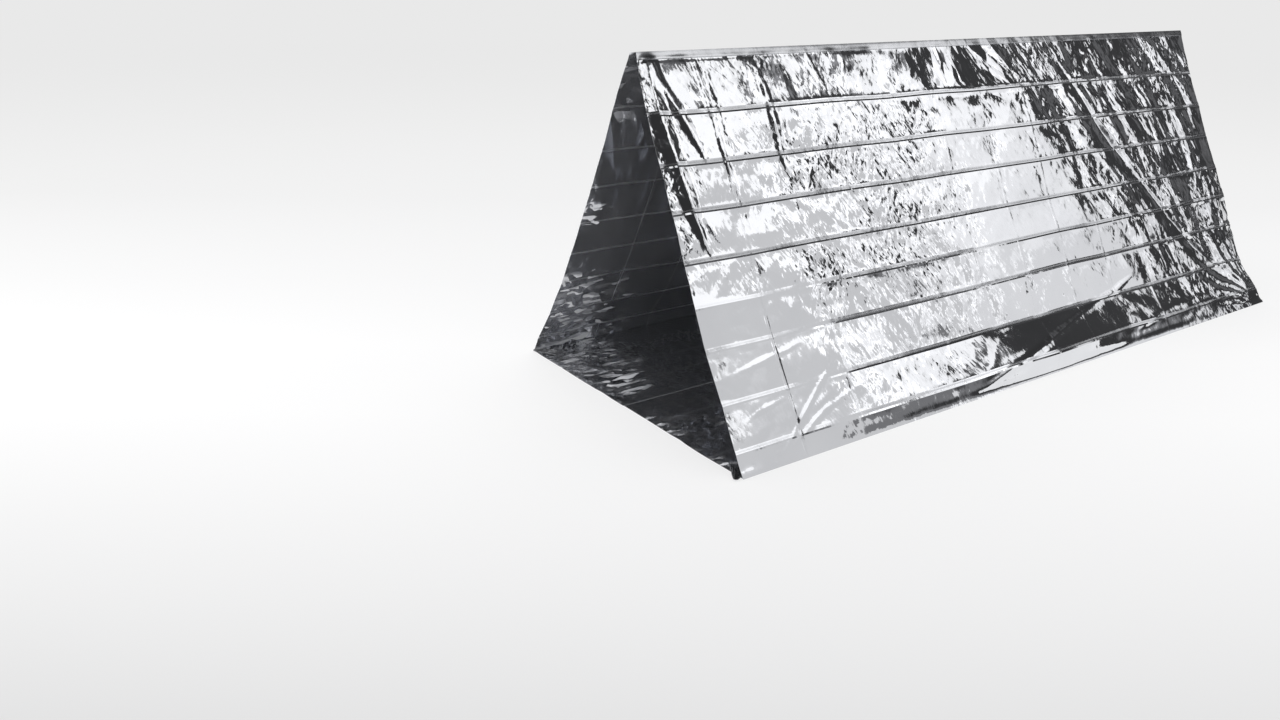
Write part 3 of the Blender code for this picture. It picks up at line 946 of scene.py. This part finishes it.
class TUBETENT_OT_floor(bpy.types.Operator):
    """Lay both halves of the floor"""

    bl_idname = "tubetent.floor"
    bl_label = "Floor"

    def execute(self, context):
        sizes = context.scene.tube_film_sizes
        for name, node, body, low, high, seed in (
            ("front_floor", "floor_front_half", "floor_front", -FLOOR_EDGE, -FLOOR_FOLD, 900),
            ("rear_floor", "floor_rear_half", "floor_rear", FLOOR_FOLD, FLOOR_EDGE, 950),
        ):
            def laid(x, y, seed=seed):
                relief, maps = floor_film(x, y, seed)
                wander = 0.004 * (waves(y * 9, y * 0, seed + 3) - 0.5) * smooth_step(np.abs(x), 0.9, 1.2)
                near = np.interp(y, (BASE_EDGE[0], -BASE_EDGE[0]), (NEAR_FLARE, CORNER_FLARE))
                far = CORNER_FLARE * smooth_step(np.abs(y), 0.30, RIM_END) ** 2
                return np.stack([flared(x, near, far) + wander, y, relief], -1), maps

            xs = lines_between(-HALF_LENGTH, HALF_LENGTH, sizes.floor_grid)
            ys = lines_between(low, high, sizes.floor_grid)
            finish = finish_of("floor_film_looks", roughness=0.02, haze=0.4)
            sheet = new_sheet(name, xs, ys, laid, finish, sizes.thickness)
            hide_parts(node)
            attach(sheet, body)
        return {'FINISHED'}


class TUBETENT_OT_ridge_seam(bpy.types.Operator):
    """Seal the lap seam along the ridge"""

    bl_idname = "tubetent.ridge_seam"
    bl_label = "Ridge seam"

    def execute(self, context):
        sizes = context.scene.tube_film_sizes

        def laid(x, d):
            relief, maps = front_film(x, d)
            # side_place holds film still at the ridge, and the seam is lifted there too.
            held = smooth_step(d, 0.0, RIDGE_HELD)
            lift = 0.0009 + 0.0008 * waves(x * 30, d * 0, 61) * smooth_step(d, 0.008, sizes.seam_width)
            lifted = (relief * held + lift) / np.maximum(held, 1e-3)
            lifted = np.where(held > 1e-3, lifted, 0)
            places = side_place(cut_edge(x, d) + drift(x, d)[0], d, lifted)
            # Its upper edge wraps over the ridge.
            places[d < 0.0005] += (0, -0.0004, 0.0008)
            # Two layers of film are stiffer, so they crumple less.
            for kept, share in (("crumple", 0.25), ("crease", 0), ("shards", 0.4)):
                maps[kept] = maps[kept] * share
            return places, maps

        xs = lines_between(-HALF_LENGTH, HALF_LENGTH, sizes.grid, CROSS_CREASES)
        ds = np.linspace(0.0, sizes.seam_width, SEAM_LINES)[::-1]
        finish = finish_of("seam_film_looks", roughness=0.14, crinkle=0.5, tone=0.84)
        seam = new_sheet("lap_seam", xs, ds, laid, finish, sizes.thickness)
        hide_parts("ridge_seam")
        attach(seam, "front_side")
        return {'FINISHED'}


class TUBETENT_OT_corners(bpy.types.Operator):
    """Gather the four pinched base corners"""

    bl_idname = "tubetent.corners"
    bl_label = "Corners"

    def execute(self, context):
        sizes = context.scene.tube_film_sizes
        length = sizes.corner_length
        for number, (end_name, end, side_name, side) in enumerate((
            ("near", -1, "front", -1), ("far", 1, "front", -1),
            ("near", -1, "rear", 1), ("far", 1, "rear", 1),
        )):
            node = end_name + "_" + side_name + "_corner"
            low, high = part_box(node)
            tip = np.array((high.x if end > 0 else low.x, high.y if side > 0 else low.y))
            out = np.array((end, side)) / math.sqrt(2)
            across = np.array((-out[1], out[0]))

            def laid(u, v, number=number, tip=tip, out=out, across=across):
                # u runs across the corner from -1 to 1 and v from 0 at the tip to 1 at its root.
                width = 0.007 + 0.022 * v ** 0.9
                ragged = 1 - 0.25 * waves(u * 4 + 9, u * 0, 60 + number)
                rounded = 0.008 * (1 - np.sqrt(np.clip(1 - u ** 2 * 0.96, 0, 1)))
                back = 0.005 + length * (0.04 + 0.93 * v * ragged) + rounded
                place = tip - np.outer(back, out) + np.outer(u * width, across)
                pleat = (u * PLEATS / 2 + 0.3 * waves(u * 2, v * 2, 40 + number)) % 1.0
                pleat = np.abs(pleat * 2 - 1)
                height = 0.0018 + pleat * (0.0035 + 0.003 * v) * smooth_step(np.abs(u), 1.02, 0.75)
                height = height + 0.001 * waves(u * 6, v * 6, 50 + number)
                height = 0.0004 + height * smooth_step(v, 1.0, 0.55)
                even = np.ones(u.shape)
                return np.column_stack([place, height]), {
                    "crumple": 1.2 * even, "crease": pleat * 0.3, "shards": 1.2 * even,
                    "drape": u * 0.03, "glint": 0.24 * even,
                }

            across_lines, root_lines = (np.linspace(*span) for span in CORNER_GRID)
            # The pinched corners are painted at half tone, as painted shade in their gathers; their glint
            # adds a little painted highlight.
            finish = finish_of("corner_film_looks", roughness=0.05, crinkle=1.5, tone=0.5)
            sheet = new_sheet(node + "_film", across_lines, root_lines, laid, finish, sizes.thickness)
            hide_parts(node)
            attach(sheet, "floor_front" if side < 0 else "floor_rear")
        return {'FINISHED'}


# Soft boxes as azimuth from -Y towards +X, elevation, width and height in degrees, and brightness.
SOFT_BOXES = (
    (57.0, 28.5, 14.0, 9.0, 0.78), (57.0, 20.0, 14.0, 8.0, 0.62), (57.0, 11.5, 14.0, 9.0, 0.50),
    (42.0, 37.5, 17.0, 17.0, 0.96), (40.0, 21.0, 22.0, 16.0, 0.48), (12.0, 52.0, 16.0, 16.0, 0.90),
)
# The soft light round them on the dark cards: the same, with the softness of the edges in degrees.
GLOWS = (
    (57.0, 21.0, 18.0, 32.0, 0.28, 4.0),
    (56.0, 25.0, 13.0, 18.0, 0.10, 6.0),
    (43.4, 37.0, 18.0, 21.0, 0.24, 5.0),
    (49.0, 50.0, 34.0, 24.0, 0.07, 8.0),
    (39.5, 18.5, 24.0, 26.0, 0.16, 4.0),
    (12.0, 52.0, 30.0, 30.0, 0.25, 12.0),
    (86.0, 20.0, 16.0, 40.0, 0.11, 8.0),
    (55.0, 25.0, 70.0, 70.0, 0.022, 30.0),
)


# The photographed view: its turn, its dip and its lean, its place, and its focal length and width in pixels.
VIEW_YAW, VIEW_PITCH, VIEW_ROLL = math.radians(34.345), math.radians(21.763), math.radians(0.672)
VIEW_PLACE = (-2.5105, -1.9745, 1.0763)
VIEW_FOCAL, VIEW_WIDTH = 968.7, 1280
# The width of the camera's sensor in millimetres.
SENSOR = 36

# The backdrop's tones of painted light along the studio floor, by metres from its front: a painted pool
# of light, lightest where the tent stands.
BACKDROP_TONES = (
    (1.15, 0.73), (1.5, 0.865), (1.96, 0.985), (2.3, 1.05), (2.8, 1.07), (3.5, 0.985),
    (4.9, 0.89), (7.8, 0.85), (11.0, 0.825), (18.0, 0.80), (44.0, 0.785),
)
# How far that front is from the tent's middle, and the reach of the tones, in metres.
BACKDROP_FRONT, BACKDROP_REACH = 3.047, 64.0
# The one tone that they fade out into on all sides.
OUTER_TONE = 0.815
# The studio floor's size, and how far it lies under the tent.
FLOOR_SIZE, FLOOR_GAP = 160, 0.0005
# The height that the soft boxes face, and how far off the dark cards are.
LAMP_CENTRE, CARD_RADIUS = 0.4, 40


def studio_floor(looks):
    """The pale floor and backdrop, to the eye and in the film, in painted light lightest where the tent
    stands.
    """
    deselect()
    bpy.ops.mesh.primitive_plane_add(size=FLOOR_SIZE, location=(0, 0, -FLOOR_GAP))
    ground = bpy.context.object
    ground.name = "studio_floor"
    g = Graph("studio_floor_looks")
    g.finish(Base_Color=(*looks.floor_colour, 1), Roughness=0.9, Specular_IOR_Level=0.0)
    place = g.add("TexCoord", "Object")
    away = dot(g, place, (math.sin(VIEW_YAW), math.cos(VIEW_YAW), 0)) + BACKDROP_FRONT
    away = away.math('MAXIMUM', away, 1.0)
    # Even steps of log distance, from 1 m at 0 to the full reach at 1.
    share = away.math('LOGARITHM', away, BACKDROP_REACH)
    reach = math.log(BACKDROP_REACH)
    stops = [(math.log(metres) / reach, (tone, tone, tone, 1)) for metres, tone in BACKDROP_TONES]
    length = g.add("VectorMath", "Value", {"operation": 'LENGTH'}, Vector=place)
    tone = g.add("ValToRGB", "Color", {"stops": stops}, Fac=share)
    # The tones fade out from 5 m to 15 m away from the tent.
    fade = ((length - 5.0) * 0.1).clamped()
    tone = vector(g, 'ADD', scaled(g, tone, 1 - fade), scaled(g, (OUTER_TONE,) * 3, fade))
    glow = g.add("Emission", "Emission", Color=tone, Strength=1.0)
    # Near the tent more of the floor's own colour shows, with the tent's shadow on it.
    far = ((length - 1.6) * 0.3).clamped()
    seen = g.add("LightPath", "Is Camera Ray")
    seen = (seen + seen.other("Is Glossy Ray") + seen.other("Is Transmission Ray")).clamped()
    mix = g.add("MixShader", "Shader", Fac=seen * (far * 0.35 + 0.65))
    g.tree.links.new(g.shader.outputs[0], mix.socket.node.inputs[1])
    g.tree.links.new(glow.socket, mix.socket.node.inputs[2])
    g.tree.links.new(mix.socket, g.tree.nodes["Material Output"].inputs["Surface"])
    ground.data.materials.append(g.material)
    return ground


def studio_cards(looks):
    """Dark cards all round, which only the film mirrors, with soft light on them."""
    deselect()
    bpy.ops.mesh.primitive_uv_sphere_add(segments=48, ring_count=24, radius=CARD_RADIUS)
    cards = bpy.context.object
    cards.name = "studio_cards"
    g = Graph("studio_cards_looks")
    # Azimuth and elevation in degrees, the same in all four quarters.
    side = g.add("SeparateXYZ", "X", Vector=g.add("TexCoord", "Object"))
    x, y, z = (side.other(axis) for axis in "XYZ")
    azimuth = x.math('ARCTAN2', x.absolute(), y.absolute()) * math.degrees(1)
    elevation = z.math('ARCSINE', z * (1 / CARD_RADIUS)) * math.degrees(1)
    tone = None
    for centre_a, centre_e, wide, high, brightness, soft in GLOWS:
        across, up = (
            ((span / 2 - (angle - centre).absolute()) * (1 / soft)).clamped()
            for angle, centre, span in ((azimuth, centre_a, wide), (elevation, centre_e, high))
        )
        glow = across * up * brightness
        tone = glow + looks.card_tone if tone is None else tone + glow
    tint = g.add("CombineXYZ", "Vector", X=tone, Y=tone, Z=tone * 1.03)
    g.finish(Base_Color=(0, 0, 0, 1), Emission_Color=tint, Emission_Strength=1.0, Specular_IOR_Level=0.0)
    cards.data.materials.append(g.material)
    cards.visible_camera = cards.visible_diffuse = cards.visible_shadow = False
    cards.visible_transmission = cards.visible_volume_scatter = False
    return cards


def soft_boxes(distance):
    """The soft boxes, each in all four quarters, at this distance from the tent."""
    centre = Vector((0, 0, LAMP_CENTRE))
    for azimuth, elevation, wide, high, brightness in SOFT_BOXES:
        a, e = math.radians(azimuth), math.radians(elevation)
        for turn_x, turn_y in ((-1, -1), (-1, 1), (1, -1), (1, 1)):
            towards = Vector((
                turn_x * math.sin(a) * math.cos(e), turn_y * math.cos(a) * math.cos(e), math.sin(e)))
            deselect()
            bpy.ops.object.light_add(type='AREA', location=centre + towards * distance)
            lamp = bpy.context.object
            lamp.rotation_mode = 'QUATERNION'
            lamp.rotation_quaternion = towards.to_track_quat('Z', 'Y')
            lamp.visible_camera = False
            light = lamp.data
            light.shape = 'RECTANGLE'
            light.size = 2 * distance * math.tan(math.radians(wide / 2))
            light.size_y = 2 * distance * math.tan(math.radians(high / 2))
            light.energy = brightness * math.pi * light.size * light.size_y


class TUBETENT_OT_studio(bpy.types.Operator):
    """Set the floor, cards, soft boxes, room light and camera"""

    bl_idname = "tubetent.studio"
    bl_label = "Studio"

    def execute(self, context):
        looks = context.scene.tube_studio_looks
        ground, cards = studio_floor(looks), studio_cards(looks)
        soft_boxes(looks.lamp_distance)
        world = bpy.data.worlds.new("room")
        world.use_nodes = True
        world.node_tree.nodes["Background"].inputs["Color"].default_value = (1, 1, 1, 1)
        world.node_tree.nodes["Background"].inputs["Strength"].default_value = looks.ambient
        context.scene.world = world
        place_camera(context.scene)
        context.scene.view_settings.view_transform = 'Standard'
        return {'FINISHED'}


def place_camera(scene):
    """The photographed view: from in front of the near end, looking slightly down."""
    level = math.cos(VIEW_PITCH)
    ahead = Vector((level * math.sin(VIEW_YAW), level * math.cos(VIEW_YAW), -math.sin(VIEW_PITCH)))
    right = ahead.cross(Vector((0, 0, 1))).normalized()
    up = right.cross(ahead)
    cos, sin = math.cos(VIEW_ROLL), math.sin(VIEW_ROLL)
    right, up = right * cos + up * sin, up * cos - right * sin
    data = bpy.data.cameras.new("view")
    data.sensor_width = SENSOR
    data.lens = VIEW_FOCAL * SENSOR / VIEW_WIDTH
    data.clip_end = 300
    camera = bpy.data.objects.new("view", data)
    scene.collection.objects.link(camera)
    turned = Matrix((right, up, -ahead)).transposed().to_4x4()
    camera.matrix_world = Matrix.Translation(VIEW_PLACE) @ turned
    scene.camera = camera


class TUBETENT_PT_panel(bpy.types.Panel):
    """The tent's film and studio"""

    bl_label = "Tube tent"
    bl_idname = "TUBETENT_PT_panel"
    bl_space_type = 'VIEW_3D'
    bl_region_type = 'UI'
    bl_category = "Tube tent"

    def draw(self, context):
        layout = self.layout
        for group in ("tube_film_sizes", "tube_film_looks", "tube_studio_looks"):
            box = layout.box()
            settings = getattr(context.scene, group)
            for name in settings.bl_rna.properties.keys():
                if name not in ("rna_type", "name"):
                    box.prop(settings, name)
        for operator in OPERATORS:
            layout.operator(operator.bl_idname)


OPERATORS = (
    TUBETENT_OT_front_side, TUBETENT_OT_rear_side, TUBETENT_OT_floor, TUBETENT_OT_ridge_seam,
    TUBETENT_OT_corners, TUBETENT_OT_studio,
)
GROUPS = (("tube_film_sizes", FilmSizes), ("tube_film_looks", FilmLooks), ("tube_studio_looks", StudioLooks))


def register():
    for name, group in GROUPS:
        bpy.utils.register_class(group)
        setattr(bpy.types.Scene, name, bpy.props.PointerProperty(type=group))
    for cls in (*OPERATORS, TUBETENT_PT_panel):
        bpy.utils.register_class(cls)


def unregister():
    for cls in (TUBETENT_PT_panel, *reversed(OPERATORS)):
        bpy.utils.unregister_class(cls)
    for name, group in GROUPS:
        delattr(bpy.types.Scene, name)
        bpy.utils.unregister_class(group)


def main():
    register()
    bpy.ops.tubetent.front_side()
    bpy.ops.tubetent.rear_side()
    bpy.ops.tubetent.floor()
    bpy.ops.tubetent.ridge_seam()
    bpy.ops.tubetent.corners()
    bpy.ops.tubetent.studio()


if __name__ == "__main__":
    main()
